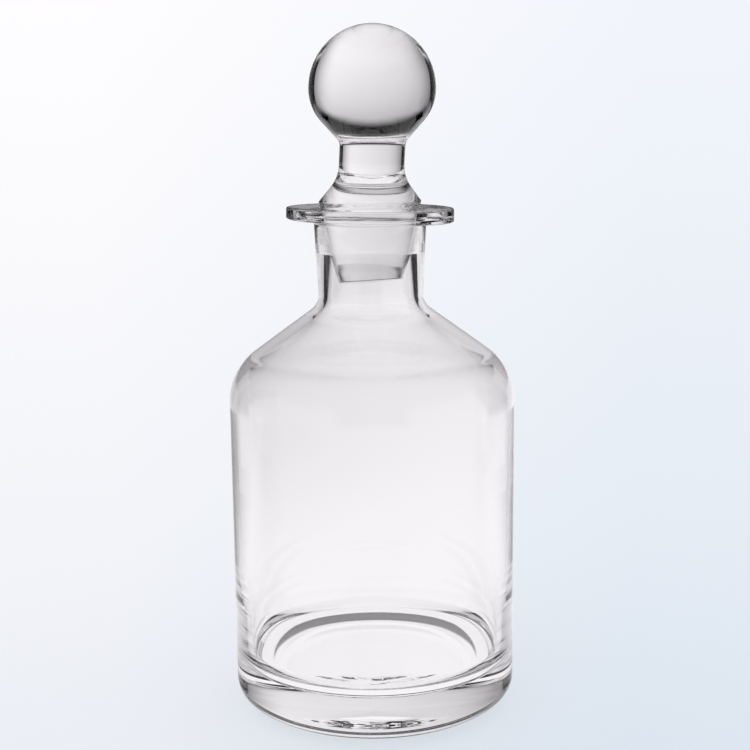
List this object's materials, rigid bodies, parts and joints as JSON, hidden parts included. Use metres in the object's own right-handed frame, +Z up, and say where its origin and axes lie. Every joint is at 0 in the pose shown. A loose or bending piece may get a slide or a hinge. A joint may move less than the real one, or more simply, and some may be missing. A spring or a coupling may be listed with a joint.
{
  "type": "decanter",
  "caption": "Round clear glass decanter with a straight body, domed shoulder, short neck with a flat disc lip, and a ground stopper topped by a solid ball.",
  "frame": {"origin": "centre of the foot, on the plane that the decanter stands on", "axes": "+Z up along the axis of the bottle and the stopper; the shape is turned, so X and Y point any way round it"},
  "size_m": [0.1, 0.1, 0.2381],
  "materials": {
    "bottle_glass": "clear colourless, fire polished outside, fine ground seat in the neck",
    "stopper_glass": "clear colourless, polished ball and stem, fine ground plug"
  },
  "bodies": {
    "bottle": {"bottle": "bottle_glass"},
    "stopper": {"stopper": "stopper_glass"}
  },
  "joints": [
    {"name": "stopper_lift", "type": "slide", "parent": "bottle", "child": "stopper", "axis": [0, 0, 1], "range_m": [0, 0.06]}
  ]
}
